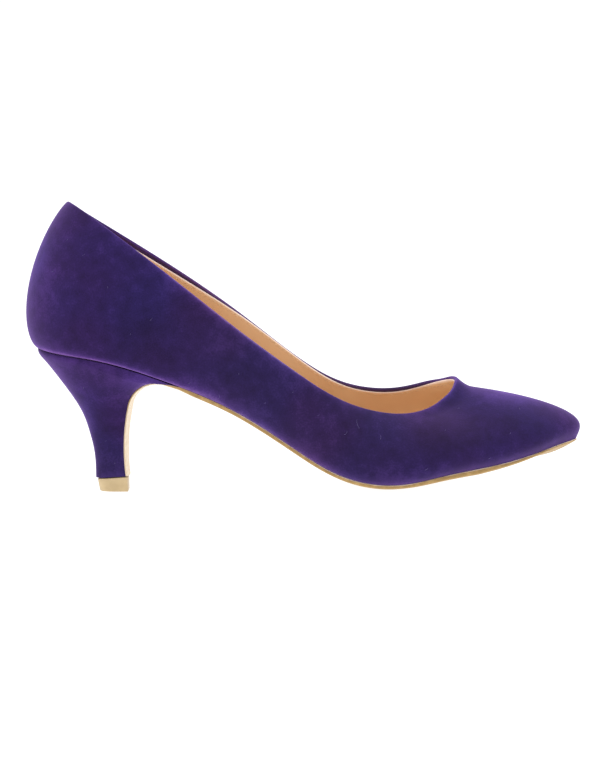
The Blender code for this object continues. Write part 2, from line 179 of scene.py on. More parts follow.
def edge_loop(table):
    """Points of an edge of the upper, in loop order and in metres."""
    loop = around(table, ("along", "lateral", "lateral_z"), ("along", "medial", "medial_z"))
    loop[:ROWS, 1] *= -1
    return loop * MM


def unit(vectors):
    """The vectors at length one."""
    return vectors / np.linalg.norm(vectors, axis=-1, keepdims=True)


feather_rows = edge_loop(FEATHER)
steps_between = np.linalg.norm(np.roll(feather_rows, -1, axis=0) - feather_rows, axis=1)
loop_knots = np.concatenate([[0.0], np.cumsum(steps_between)[:-1]])
loop_length = steps_between.sum()
column_places = np.concatenate([
    knot + step * np.arange(STEPS) / STEPS for knot, step in zip(loop_knots, steps_between)])


def loop_curve(rows):
    """Closed curve through one row of values for each place round the shoe."""
    return smooth_curve(loop_knots, rows, loop_length)


feather_curve = loop_curve(feather_rows)
topline_curve = loop_curve(edge_loop(TOPLINE))
feather = feather_curve(column_places)
topline = topline_curve(column_places)
feather_run = feather_curve(column_places + NUDGE) - feather_curve(column_places - NUDGE)
topline_run = topline_curve(column_places + NUDGE) - topline_curve(column_places - NUDGE)
rib = topline - feather
rib_length = np.linalg.norm(rib, axis=1)
fullness_rows = around(FULLNESS, ("lateral", "rise", "fall"), ("medial", "rise", "fall"))
fullness = loop_curve(fullness_rows)(column_places)
bulge, rise, fall = fullness[:, 0] * MM, fullness[:, 1], fullness[:, 2]
lip = loop_curve(around(TOPLINE, ("lip",), ("lip",)))(column_places)[:, 0] * MM

# Middle line of the bottom: each column shares its point with the column across the shoe
keel_curve = smooth_curve([row.along * MM for row in FEATHER], [row.keel_z * MM for row in FEATHER])
opposite = (-np.arange(COLUMNS)) % COLUMNS
spine = (feather + feather[opposite]) / 2
spine_y = np.interp((HEEL_CENTRE, TOE_CENTRE), spine[:TOE_COLUMN, 0], spine[:TOE_COLUMN, 1])
spine[:, 1] = np.where(spine[:, 0] < HEEL_CENTRE, spine_y[0], spine[:, 1])
spine[:, 1] = np.where(spine[:, 0] > TOE_CENTRE, spine_y[1], spine[:, 1])
spine[:, 0] = np.clip(spine[:, 0], HEEL_CENTRE, TOE_CENTRE)
spine[:, 2] = keel_curve(spine[:, 0])[:, 0]


def crowded(count):
    """Shares of the way up the wall, close together at its two ends."""
    return ((1 - np.cos(np.pi * np.arange(count + 1) / count)) / 2) ** WALL_CROWDING


def bottom(shares):
    """Rings of the upper's underside, from the middle line (0) to the edge (1)."""
    shares = np.asarray(shares, float)[:, None, None]
    rings = spine + (feather - spine) * shares
    rings[..., 2] = (spine + (feather - spine) * shares ** BOTTOM_ROUND)[..., 2]
    return rings


def wall(levels):
    """Rings of the upper's outer face at each column's levels, from bottom edge (0) to topline (1)."""
    way = levels[..., None]
    outward = unit(np.cross(feather_run * (1 - way) + topline_run * way, rib))
    fullest = rise / (rise + fall)
    peak = fullest ** rise * (1 - fullest) ** fall
    stand = bulge * levels ** rise * (1 - levels) ** fall / peak
    rings = feather + rib * way + outward * stand[..., None]
    rings[..., 2] += lip * np.clip((levels - LIP_START) / (1 - LIP_START), 0, 1) ** 2
    return rings


def normals_of(rings):
    """Outward normals of a skin given as closed rings of points."""
    along = np.roll(rings, -1, axis=1) - np.roll(rings, 1, axis=1)
    return unit(np.cross(along, np.gradient(rings, axis=0)))


def inside(levels, depth):
    """The wall's rings moved in by a depth."""
    rings = wall(levels)
    return rings - normals_of(rings) * depth


skin = wall(np.repeat(crowded(SKIN_LEVELS)[:, None], COLUMNS, axis=1)).reshape(-1, 3)
upper_low, upper_high = (np.array(corner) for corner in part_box("upper"))
last_to_frame = (upper_low + upper_high - skin.min(axis=0) - skin.max(axis=0)) / 2
last_to_frame[2] = 0.0


def ring_mesh(name, rings, tube=False):
    """Smooth mesh over closed rings of points in the frame; a tube also joins its last ring to its first."""
    count, columns = rings.shape[:2]
    index = np.arange(count * columns).reshape(count, columns)
    low = index if tube else index[:-1]
    high = np.roll(index, -1, axis=0) if tube else index[1:]
    faces = np.stack([low, np.roll(low, -1, axis=1), np.roll(high, -1, axis=1), high], axis=-1)
    mesh = bpy.data.meshes.new(name)
    mesh.from_pydata((rings.reshape(-1, 3) + last_to_frame).tolist(), [], faces.reshape(-1, 4).tolist())
    mesh.shade_smooth()
    return mesh


def weld(mesh):
    """Merges points that coincide and turns the faces outward."""
    bm = bmesh.new()
    bm.from_mesh(mesh)
    bmesh.ops.remove_doubles(bm, verts=bm.verts[:], dist=WELD)
    bmesh.ops.recalc_face_normals(bm, faces=bm.faces[:])
    bm.to_mesh(mesh)
    bm.free()


def add_piece(mesh, *materials):
    """Object of a finished mesh at the origin, with its materials."""
    piece = bpy.data.objects.new(mesh.name, mesh)
    for material in materials:
        mesh.materials.append(material)
    bpy.context.scene.collection.objects.link(piece)
    return piece


def colour(code):
    """Linear colour of an sRGB hex code."""
    parts = [int(code[k:k + 2], 16) / 255 for k in (1, 3, 5)]
    return [part / 12.92 if part <= 0.04045 else ((part + 0.055) / 1.055) ** 2.4 for part in parts] + [1.0]


def add_node(tree, kind, inputs=(), **settings):
    """Adds a node, sets its properties and gives its inputs their values or links."""
    made = tree.nodes.new(kind)
    for name, value in settings.items():
        setattr(made, name, value)
    for socket, value in dict(inputs).items():
        if isinstance(value, bpy.types.NodeSocket):
            tree.links.new(value, made.inputs[socket])
        else:
            made.inputs[socket].default_value = value
    return made


def set_ramp(ramp, stops):
    """Gives a colour ramp its stops, as places and hex codes."""
    elements = ramp.color_ramp.elements
    while len(elements) < len(stops):
        elements.new(1.0)
    for element, (place, code) in zip(elements, stops):
        element.position = place
        element.color = colour(code)


def surface(name, finish):
    """Material with its tree and its Principled shader, set to a finish."""
    made = bpy.data.materials.new(name)
    made.use_nodes = True
    shader = made.node_tree.nodes["Principled BSDF"]
    for socket, value in finish.items():
        shader.inputs[socket].default_value = value
    return made, made.node_tree, shader


# Sockets of a colour mix: its share, the colours under and over, and the mixed colour that comes out
MIX_SHARE, MIX_UNDER, MIX_OVER = 0, 6, 7
MIX_OUT = 2


# Tan sheepskin, dyed and lightly finished: an even warm tan with a soft low gloss and a fine tight grain.
# The grain's cells are about 0.8 mm, a little coarser than real so that they show.
def lining_leather(name, dark, mid, pale, attributes=()):
    made, tree, shader = surface(name, {"Roughness": 0.55, "IOR": 1.5})
    place = add_node(tree, "ShaderNodeTexCoord").outputs["Object"]
    cloud = add_node(tree, "ShaderNodeTexNoise", {"Vector": place, "Scale": 1 / (22 * MM), "Detail": 3.0})
    ramp = add_node(tree, "ShaderNodeValToRGB", {"Fac": cloud.outputs["Fac"]})
    set_ramp(ramp, ((0.30, dark), (0.52, mid), (0.75, pale)))
    base = ramp.outputs["Color"]
    for attribute, code in attributes:
        share = add_node(tree, "ShaderNodeAttribute", attribute_name=attribute)
        mix = add_node(tree, "ShaderNodeMix", {
            MIX_SHARE: share.outputs["Fac"], MIX_UNDER: base, MIX_OVER: colour(code)}, data_type="RGBA")
        base = mix.outputs[MIX_OUT]
    tree.links.new(base, shader.inputs["Base Color"])
    grain = add_node(tree, "ShaderNodeTexVoronoi", {"Vector": place, "Scale": 1 / (0.8 * MM)})
    bump = add_node(tree, "ShaderNodeBump", {
        "Height": grain.outputs["Distance"], "Strength": 0.12, "Distance": 0.1 * MM})
    tree.links.new(bump.outputs["Normal"], shader.inputs["Normal"])
    return made


# The sock's edge follows the lining at the height where the foot's bed ends
low_levels = np.repeat(np.linspace(0, BED_REACH, BED_LEVELS)[:, None], COLUMNS, axis=1)
low_lining = inside(low_levels, WALL + LINING_PROUD)
sock_edge = np.array([
    [np.interp(SOCK_RISE, low_lining[:, column, 2] - feather[column, 2], low_lining[:, column, axis])
     for axis in range(3)] for column in range(COLUMNS)])
bed = WALL + GAP + INSOLE_THICKNESS

# Section of the sock from the end of its face round its cut edge and back underneath
Skirt = namedtuple("Skirt", "share drop")
SOCK_FACE = 0.985
SOCK_SKIRT = (
    Skirt(0.995, 0.25),
    Skirt(0.99, 0.70),
    Skirt(0.95, 1.30),
    Skirt(0.50, 1.30),
    Skirt(0.00, 1.30),
)


def sock_ring(share, lift):
    """Ring of the sock between the middle line (0) and its edge (1), raised or lowered."""
    ring = spine + (sock_edge - spine) * share
    middle = spine[:, 2] + bed + SOCK_CROWN * (1 - share ** 2)
    ring[:, 2] = middle + (sock_edge[:, 2] - spine[:, 2] - bed) * share ** BOTTOM_ROUND + lift
    return ring


sock_rings = [sock_ring(share, 0.0) for share in np.linspace(0, SOCK_FACE, SOCK_RINGS)]
sock_rings += [sock_ring(row.share, -row.drop * MM) for row in SOCK_SKIRT]
sock_mesh = ring_mesh("insole_sock", np.array(sock_rings))
weld(sock_mesh)
sock = add_piece(sock_mesh, lining_leather("tan sock leather", "#e3b98e", "#e8c098", "#ecc7a1"))
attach(sock, "root")
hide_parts("insole")

# Lining
# Tan sheepskin over the whole inside, closed at the back and lasted together with the suede.
# Its raw top edge is trimmed just under the folded suede, and a thin pale line is painted along it: partly
# the raw edge's own paleness, partly a painted highlight.
LINING_THICKNESS = 0.75 * MM
LINING_LEVELS = 44
LINING_SPREAD = 0.8
LINING_CROWN = 0.2 * MM
ROLL = WALL / 2
PALE_EDGE = 0.4 * MM
PALE_REACH = 1.5
RUBBED_END = 172.0 * MM
RUBBED_FADE = 40.0 * MM
RUBBED_CLEAN = 0.5
RUBBED_DEPTH = 7.0 * MM


def mark(mesh, **marks):
    """Keeps values at a mesh's points, under the names that its material reads."""
    for name, values in marks.items():
        mesh.attributes.new(name, "FLOAT", "POINT").data.foreach_set("value", values.ravel())


fold = loop_curve(around(TOPLINE, ("lateral_fold",), ("medial_fold",)))(column_places)[:, 0] * MM
lining_top = 1 - (ROLL + fold) / rib_length
lining_levels = np.linspace(0, 1, LINING_LEVELS + 1)[:, None] ** LINING_SPREAD * lining_top
lining_front = inside(lining_levels, WALL + LINING_PROUD)
lining_back = inside(lining_levels, WALL + LINING_PROUD - LINING_THICKNESS)
top_way = unit(lining_front[-1] - lining_front[-2])
lining_middle = (lining_front[-1] + lining_back[-1]) / 2 + top_way * LINING_CROWN
lining_rings = np.concatenate([lining_back, lining_middle[None], lining_front[::-1]])
lining_mesh = ring_mesh("upper_lining", lining_rings, tube=True)
below_top = np.concatenate([
    lining_top - lining_levels, np.zeros((1, COLUMNS)), (lining_top - lining_levels)[::-1]]) * rib_length
# Painted highlight: a thin pale line along the lining's raw top edge
pale = np.clip(PALE_REACH - below_top / PALE_EDGE, 0, 1)
# Painted shade: the lining is painted darker towards the heel and deeper below its top edge, eased off close
# under the edge
rubbed = np.clip((RUBBED_END - lining_rings[..., 0]) / RUBBED_FADE, 0, 1)
rubbed *= 1 - RUBBED_CLEAN * np.exp(-below_top / RUBBED_DEPTH)
mark(lining_mesh, pale_edge=pale, rubbed=rubbed)
weld(lining_mesh)
# The darker tan is painted shade; the near-white tone is a painted highlight along the top edge
lining_tan = lining_leather("tan sheepskin lining", "#f2cd9f", "#f6d5a8", "#fae0b6", (
    ("rubbed", "#ca9866"), ("pale_edge", "#ffe8d8")))
lining = add_piece(lining_mesh, lining_tan)
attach(lining, "root")

# Suede upper
# One wall of purple suede pulled over the last: its lower edge turns in under the foot as a margin,
# and its top edge is rolled over and folded inside, where the lining covers the cut.
SUEDE_THICKNESS = 1.0 * MM
MARGIN_SHARE = 0.34
WALL_LEVELS = 72
ROLL_RINGS = 8
FOLD_RINGS = 4
FOLD_TUCK = 0.1 * MM
FOLD_LEAST = 0.2 * MM
BACK_RINGS = 10
BACK_END = 0.02
MARGIN_RINGS = 8
MARGIN_TOP = 0.97
TILT_LEVELS = ((0.96,), (0.98,))
top_tilt = normals_of(wall(np.repeat(TILT_LEVELS, COLUMNS, axis=1)))[-1, :, 2]
suede_top = 1 - ROLL * (1 - top_tilt) / rib[:, 2]
outer_levels = crowded(WALL_LEVELS)[:, None] * suede_top
outer = wall(outer_levels)
outer_normals = normals_of(outer)
top_normal = outer_normals[-1]
top_up = unit(outer[-1] - outer[-2])
roll_centre = outer[-1] - top_normal * ROLL
turns = np.pi * np.arange(1, ROLL_RINGS) / ROLL_RINGS
roll = np.array([
    roll_centre + (top_normal * math.cos(turn) + top_up * math.sin(turn)) * ROLL for turn in turns])
fold_end = np.minimum(lining_top - FOLD_TUCK / rib_length, suede_top - FOLD_LEAST / rib_length)
fold_levels = np.linspace(0, 1, FOLD_RINGS)[:, None] * (suede_top - fold_end) + fold_end
folded = inside(fold_levels, WALL)[::-1]
back_levels = np.linspace(1, BACK_END, BACK_RINGS)[:, None] * (fold_end - FOLD_TUCK / rib_length)
back = inside(back_levels[::-1], SUEDE_THICKNESS)[::-1]
margin = bottom(np.linspace(1 - MARGIN_SHARE, 1, MARGIN_RINGS + 1)[:-1])
margin_top = bottom((MARGIN_TOP, 1 - MARGIN_SHARE))
margin_top[..., 2] += SUEDE_THICKNESS
suede_rings = np.concatenate([margin, outer, roll, folded, back, margin_top])

# Soft places drawn lighter or darker, partly the nap's own lie and partly painted highlights and painted
# shade, in millimetres on each side
NAP_REST = 0.5
SIDE_FADE = 8.0
Brushed = namedtuple("Brushed", "place side along z wide tall lift")
BRUSHED = (
    Brushed("counter back", -1, 4.0, 88.0, 9.0, 26.0, 0.05),
    Brushed("quarter middle", -1, 62.0, 68.0, 20.0, 15.0, -0.08),
    Brushed("quarter top", -1, 62.0, 88.0, 13.0, 8.0, 0.05),
    Brushed("collar waist", -1, 92.0, 64.0, 13.0, 7.0, 0.06),
    Brushed("shank", -1, 100.0, 50.0, 12.0, 8.0, -0.08),
    Brushed("joint", -1, 146.0, 22.0, 18.0, 9.0, -0.06),
    Brushed("vamp side", -1, 186.0, 21.0, 18.0, 8.0, -0.10),
    Brushed("vamp front", -1, 207.0, 26.0, 9.0, 6.0, -0.05),
    Brushed("vamp top", 0, 209.0, 40.0, 13.0, 3.6, 0.25),
    Brushed("toe top", 0, 218.0, 36.0, 6.0, 4.0, 0.12),
    Brushed("toe", 0, 232.0, 28.0, 7.0, 7.0, 0.07),
    Brushed("inner quarter", 1, 50.0, 84.0, 22.0, 16.0, -0.08),
    Brushed("inner waist", 1, 92.0, 52.0, 20.0, 9.0, 0.10),
    Brushed("inner joint", 1, 150.0, 24.0, 20.0, 9.0, -0.06),
)

# Painted highlights drawn as lighter nap over the bottom roll and under the topline, how wide each band is,
# and how much painted shade the fold turned inside takes
Raised = namedtuple("Raised", "place along roll roll_band rim rim_band turned")
RAISED = (
    Raised("heel back", 5.0, 0.50, 1.4, 0.04, 2.0, 0.3),
    Raised("heel side", 33.0, 0.58, 0.9, 0.10, 1.4, 0.3),
    Raised("heel front", 60.0, 0.56, 1.8, 0.30, 1.3, 0.5),
    Raised("waist", 84.0, 0.48, 4.2, 0.42, 1.5, 0.7),
    Raised("arch", 116.0, 0.38, 3.2, 0.38, 1.3, 1.0),
    Raised("joint", 139.0, 0.20, 1.8, 0.24, 1.3, 1.0),
    Raised("ball", 160.0, 0.22, 2.0, 0.10, 2.0, 1.0),
    Raised("tread front", 174.0, 0.10, 2.2, 0.22, 1.4, 0.7),
    Raised("throat", 185.0, 0.04, 2.2, 0.36, 0.9, 0.0),
    Raised("vamp", 202.0, 0.04, 2.4, 0.05, 3.0, 0.0),
    Raised("toe tip", 240.0, 0.00, 2.4, 0.00, 3.0, 0.0),
)


def brushed_nap(points, patches):
    """Lie of the nap with its painted highlights and painted shade at each point: 0 dark, 1 light."""
    along, across, z = np.moveaxis(points, -1, 0) / MM
    nap = np.full(along.shape, NAP_REST)
    for patch in patches:
        off = ((along - patch.along) / patch.wide) ** 2 + ((z - patch.z) / patch.tall) ** 2
        facing = np.clip(0.5 + across * patch.side / SIDE_FADE, 0, 1) if patch.side else 1.0
        nap += patch.lift * np.exp(-off) * facing
    return nap


way_up = np.concatenate([
    np.zeros((len(margin), COLUMNS)), outer_levels, np.ones((len(roll), COLUMNS)),
    fold_levels[::-1], back_levels, np.zeros((len(margin_top), COLUMNS))])
suede_along = suede_rings[..., 0] / MM
raised_along = [row.along for row in RAISED]
raised = {name: np.interp(suede_along, raised_along, [getattr(row, name) for row in RAISED])
          for name in ("roll", "roll_band", "rim", "rim_band", "turned")}
# The nap's lie together with the painted highlights and painted shade of the patches
nap = brushed_nap(suede_rings, BRUSHED)
# Painted highlights: lighter bands over the bottom roll and under the topline
nap += raised["roll"] * np.exp(-way_up * rib_length / MM / raised["roll_band"])
nap += raised["rim"] * np.exp(-(1 - way_up) * rib_length / MM / raised["rim_band"])
first_roll = len(margin) + len(outer)
first_back = first_roll + len(roll) + len(folded)
folded_in = np.zeros(len(suede_rings))
folded_in[first_roll:first_back] = np.minimum(1.0, np.arange(first_back - first_roll) / ROLL_RINGS)
# Painted shade on the suede folded inside the topline, strongest from the arch to the ball and none at the
# throat
turned_in = folded_in[:, None] * raised["turned"]

# Dye that has taken a little redder in places along the shoe
Dye = namedtuple("Dye", "place along warm")
DYE = (
    Dye("counter", 30.0, 0.0),
    Dye("quarter", 62.0, 0.2),
    Dye("waist", 90.0, 0.9),
    Dye("joint", 150.0, 0.9),
    Dye("vamp", 190.0, 0.3),
    Dye("toe", 240.0, 0.2),
)
warm = np.interp(suede_along, [row.along for row in DYE], [row.warm for row in DYE])


# Split leather dyed purple and sanded to a short nap: matte and deep seen straight on, with a violet bloom
# where the fibres are seen from the side. Fibres are far under a pixel, so the nap is drawn at about 0.7 mm.
def purple_suede(name):
    made, tree, shader = surface(name, {
        "Roughness": 0.95, "Specular IOR Level": 0.15, "Sheen Weight": 0.55, "Sheen Roughness": 0.45,
        "Sheen Tint": colour("#b08be2")})
    place = add_node(tree, "ShaderNodeTexCoord").outputs["Object"]
    # The point values read here hold the nap's lie together with painted highlights and painted shade
    lie = add_node(tree, "ShaderNodeAttribute", attribute_name="nap")
    cloud = add_node(tree, "ShaderNodeTexNoise", {"Vector": place, "Scale": 1 / (26 * MM), "Detail": 3.0})
    stroke = add_node(tree, "ShaderNodeTexNoise", {"Vector": place, "Scale": 1 / (5 * MM), "Detail": 3.0})
    fibre = add_node(tree, "ShaderNodeTexNoise", {"Vector": place, "Scale": 1 / (0.7 * MM), "Detail": 2.0})
    shade = lie.outputs["Fac"]
    for pattern, share in ((cloud, 0.34), (stroke, 0.30), (fibre, 0.24)):
        centred = add_node(tree, "ShaderNodeMath", {0: pattern.outputs["Fac"], 1: 0.5}, operation="SUBTRACT")
        added = add_node(tree, "ShaderNodeMath", {
            0: centred.outputs[0], 1: share, 2: shade}, operation="MULTIPLY_ADD")
        shade = added.outputs[0]
    depth = add_node(tree, "ShaderNodeValToRGB", {"Fac": shade})
    set_ramp(depth, (
        (0.15, "#160d2c"), (0.38, "#22163f"), (0.52, "#2b1d50"), (0.74, "#463175"), (1.0, "#7b5fa9")))
    drift = add_node(tree, "ShaderNodeTexNoise", {
        "Vector": place, "Scale": 1 / (34 * MM), "Detail": 1.0, "W": 3.0}, noise_dimensions="4D")
    tint = add_node(tree, "ShaderNodeValToRGB", {"Fac": drift.outputs["Fac"]})
    set_ramp(tint, ((0.36, "#e6eeff"), (0.64, "#ffe3ef")))
    dyed = add_node(tree, "ShaderNodeMix", {
        MIX_SHARE: 1.0, MIX_UNDER: depth.outputs["Color"], MIX_OVER: tint.outputs["Color"],
    }, data_type="RGBA", blend_type="MULTIPLY")
    redder = add_node(tree, "ShaderNodeAttribute", attribute_name="warm")
    warmed = add_node(tree, "ShaderNodeMix", {
        MIX_SHARE: redder.outputs["Fac"], MIX_UNDER: dyed.outputs[MIX_OUT], MIX_OVER: colour("#ffffe4"),
    }, data_type="RGBA", blend_type="MULTIPLY")
    # Painted shade of the fold turned inside the topline, in a dark greyish maroon
    turned = add_node(tree, "ShaderNodeAttribute", attribute_name="turned_in")
    edge = add_node(tree, "ShaderNodeMix", {
        MIX_SHARE: turned.outputs["Fac"], MIX_UNDER: warmed.outputs[MIX_OUT], MIX_OVER: colour("#4a3648"),
    }, data_type="RGBA")
    tree.links.new(edge.outputs[MIX_OUT], shader.inputs["Base Color"])
    bump = add_node(tree, "ShaderNodeBump", {
        "Height": fibre.outputs["Fac"], "Strength": 0.35, "Distance": 0.15 * MM})
    tree.links.new(bump.outputs["Normal"], shader.inputs["Normal"])
    return made


suede_mesh = ring_mesh("suede_upper", suede_rings, tube=True)
mark(suede_mesh, nap=nap, warm=warm, turned_in=turned_in)
suede = add_piece(suede_mesh, purple_suede("purple suede"))
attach(suede, "root")
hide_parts("upper")

# Topline seam
# One row of fine machine stitches in tan thread holds the lining's edge to the folded suede.
# It runs right round the opening, a little under the lining's edge.
STITCH_LENGTH = 1.7 * MM
STITCH_PITCH = 2.4 * MM
THREAD = 0.34 * MM
SEAM_DROP = 1.3 * MM


def grow_on_path(name, points, lines, tree, sizes, material):
    """Plain mesh that a node tree makes along guide lines through points in the frame."""
    guide_mesh = bpy.data.meshes.new(name)
    guide_mesh.from_pydata(points.tolist(), lines, [])
    guide = add_piece(guide_mesh)
    grower = guide.modifiers.new(name, "NODES")
    grower.node_group = tree
    sockets = {item.name: item.identifier for item in tree.interface.items_tree if item.in_out == "INPUT"}
    for size, value in sizes.items():
        grower[sockets[size]] = value
    grower[sockets["Material"]] = material
    graph = bpy.context.evaluated_depsgraph_get()
    mesh = bpy.data.meshes.new_from_object(guide.evaluated_get(graph))
    guide.modifiers.remove(grower)
    bpy.data.objects.remove(guide)
    bpy.data.meshes.remove(guide_mesh)
    mesh.name = name
    return mesh


def path_tree(name, sizes):
    """Empty node tree with named size inputs, its input and its output."""
    tree = bpy.data.node_groups.new(name, "GeometryNodeTree")
    tree.interface.new_socket("Geometry", in_out="INPUT", socket_type="NodeSocketGeometry")
    for size in sizes:
        tree.interface.new_socket(size, in_out="INPUT", socket_type="NodeSocketFloat")
    tree.interface.new_socket("Material", in_out="INPUT", socket_type="NodeSocketMaterial")
    tree.interface.new_socket("Geometry", in_out="OUTPUT", socket_type="NodeSocketGeometry")
    return tree, add_node(tree, "NodeGroupInput").outputs


def finish_tree(tree, last, given):
    """Ends a tree: real smooth faces in the given material."""
    real = add_node(tree, "GeometryNodeRealizeInstances", {"Geometry": last.outputs[0]})
    smooth = add_node(tree, "GeometryNodeSetShadeSmooth", {"Geometry": real.outputs[0]})
    dressed = add_node(tree, "GeometryNodeSetMaterial", {
        "Geometry": smooth.outputs[0], "Material": given["Material"]})
    add_node(tree, "NodeGroupOutput", {"Geometry": dressed.outputs[0]})


stitch_sizes = {"Length": STITCH_LENGTH, "Pitch": STITCH_PITCH, "Thread": THREAD}
stitch_row, given = path_tree("stitch row", stitch_sizes)
path = add_node(stitch_row, "GeometryNodeMeshToCurve", {"Mesh": given["Geometry"]})
spots = add_node(stitch_row, "GeometryNodeResampleCurve", {
    "Curve": path.outputs[0], "Length": given["Pitch"]}, mode="LENGTH")
ball = add_node(stitch_row, "GeometryNodeMeshUVSphere", {"Segments": 8, "Rings": 6, "Radius": 0.5})
sizes = add_node(stitch_row, "ShaderNodeCombineXYZ", {
    "X": given["Length"], "Y": given["Thread"], "Z": given["Thread"]})
stitch = add_node(stitch_row, "GeometryNodeTransform", {
    "Geometry": ball.outputs["Mesh"], "Scale": sizes.outputs[0]})
tangent = add_node(stitch_row, "GeometryNodeInputTangent")
turn = add_node(stitch_row, "FunctionNodeAlignRotationToVector", {"Vector": tangent.outputs[0]}, axis="X")
stitched = add_node(stitch_row, "GeometryNodeInstanceOnPoints", {
    "Points": spots.outputs[0], "Instance": stitch.outputs[0], "Rotation": turn.outputs[0]})
finish_tree(stitch_row, stitched, given)


def mottled(name, finish, spot, stops):
    """Plain material with faint soft spots of a size, between its colours."""
    made, tree, shader = surface(name, finish)
    place = add_node(tree, "ShaderNodeTexCoord").outputs["Object"]
    cloud = add_node(tree, "ShaderNodeTexNoise", {"Vector": place, "Scale": 1 / spot})
    ramp = add_node(tree, "ShaderNodeValToRGB", {"Fac": cloud.outputs["Fac"]})
    set_ramp(ramp, stops)
    tree.links.new(ramp.outputs["Color"], shader.inputs["Base Color"])
    return made


# Bonded polyester thread, a shade lighter than the lining: a soft even gloss on each stitch.
tan_thread = mottled("tan polyester thread", {"Roughness": 0.5}, 1.0 * MM, (
    (0.35, "#dbb48a"), (0.65, "#e9cba6")))

# Two rings on the lining: the lower one only gives the wall's slope, the upper one is the seam
seam_levels = lining_top - np.array([[2.0], [1.0]]) * SEAM_DROP / rib_length
seam = inside(seam_levels, WALL + LINING_PROUD)[1] + last_to_frame
seam_loop = [(k, (k + 1) % COLUMNS) for k in range(COLUMNS)]
stitch_mesh = grow_on_path("topline_stitches", seam, seam_loop, stitch_row, stitch_sizes, tan_thread)
stitches = add_piece(stitch_mesh)
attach(stitches, "root")

# Heel
# A moulded plastic block covered in the upper's suede, nailed up through the insole into the seat.
# Its cover is drawn tight round the back and turned under at the top piece and behind the sole's flap.
SEAT_PROUD = 0.012
SEAT_GAP = 0.5 * MM
SEAT_FRONT = [row.place for row in FEATHER].index("heel front") * STEPS
SOLE_BACK = SEAT_FRONT + STEPS // 4
SEAT_RINGS = 8
HEEL_LEVELS = 52
HEEL_ROUND = 0.4 * MM
SEAT_SHADE = 0.24
SEAT_SHADE_BAND = 0.4 * MM
SEAT_LIFT = 0.18
SEAT_LIFT_BAND = 4.0 * MM
SEAT_LIFT_START = 10.0 * MM
SEAT_LIFT_FULL = 24.0 * MM
HEEL_WARM_LOW = 12.0 * MM
HEEL_WARM_HIGH = 36.0 * MM
HEEL_CORNER = math.radians(38.0)
TIP_BACK_HEIGHT = 5.6 * MM
TIP_FRONT_HEIGHT = 6.4 * MM
TIP_BACK = 30.2 * MM
TIP_FRONT = 43.6 * MM
TIP_HALF_WIDTH = 6.6 * MM
TIP_ROUNDNESS = 2.4
BREAST_RADIUS = 14.0 * MM
BREAST_CENTRE = (58.1 * MM, 34.9 * MM)
BREAST_START = math.radians(78.0)
BREAST_TURN = math.radians(167.0)
FRONT_RADIUS = 95.0 * MM
BREAST_BOW = 1.1 * MM
BREAST_PULL = 3
SHEET_WELD = 0.02 * MM

# Back and sides of the block: share of its flare reached at each share of its height
Flare = namedtuple("Flare", "height back side")
HEEL_FLARE = (
    Flare(0.00, 0.030, 0.000),
    Flare(0.20, 0.048, 0.035),
    Flare(0.35, 0.122, 0.120),
    Flare(0.50, 0.237, 0.250),
    Flare(0.70, 0.517, 0.495),
    Flare(0.86, 0.788, 0.760),
    Flare(0.92, 0.900, 0.863),
    Flare(0.96, 0.974, 0.932),
    Flare(1.00, 1.000, 1.000),
)
flare_curve = smooth_curve([row.height for row in HEEL_FLARE], [(row.back, row.side) for row in HEEL_FLARE])


def breast(share):
    """Edge, way out and crown of the heel's front face, from under the waist (0) to the top piece (1)."""
    centre = np.array(BREAST_CENTRE)
    radius = BREAST_RADIUS
    turn = np.array((math.cos(BREAST_TURN), math.sin(BREAST_TURN)))
    front_centre = centre + turn * (BREAST_RADIUS - FRONT_RADIUS)
    front_end = math.pi + math.asin((front_centre[1] - TIP_FRONT_HEIGHT - GAP) / FRONT_RADIUS)
    hollow = BREAST_RADIUS * (BREAST_TURN - BREAST_START)
    travel = share * (hollow + FRONT_RADIUS * (front_end - BREAST_TURN))
    angle = BREAST_START + travel / BREAST_RADIUS
    if travel > hollow:
        centre = front_centre
        radius = FRONT_RADIUS
        angle = BREAST_TURN + (travel - hollow) / FRONT_RADIUS
    outward = np.array((-math.cos(angle), -math.sin(angle)))
    crown_left = 1 - min(1.0, travel / hollow)
    return centre - outward * radius, outward, crown_left


def tip_outline(share, scale=1.0):
    """Half width of the top piece at a share of its length from the back."""
    return TIP_HALF_WIDTH * scale * (1 - (1 - share) ** TIP_ROUNDNESS) ** (1 / TIP_ROUNDNESS)


def add_sheet(bm, rows):
    """Faces over rows of points in the frame."""
    grid = [[bm.verts.new(point + last_to_frame) for point in row] for row in rows]
    for low, high in zip(grid, grid[1:]):
        for k in range(len(low) - 1):
            bm.faces.new((low[k], low[k + 1], high[k + 1], high[k]))


def close_holes(bm):
    """Fills each open ring of a mesh with one face and turns the faces outward."""
    bmesh.ops.holes_fill(bm, edges=[edge for edge in bm.edges if edge.is_boundary], sides=0)
    bmesh.ops.recalc_face_normals(bm, faces=bm.faces[:])


def round_edges(bm, edges, radius):
    """Rounds edges of a mesh and smooths its faces."""
    made = bmesh.ops.bevel(bm, geom=edges, offset=radius, segments=3, profile=0.5, affect="EDGES",
                           clamp_overlap=True)
    for face in bm.faces:
        face.smooth = True
    return made["faces"]


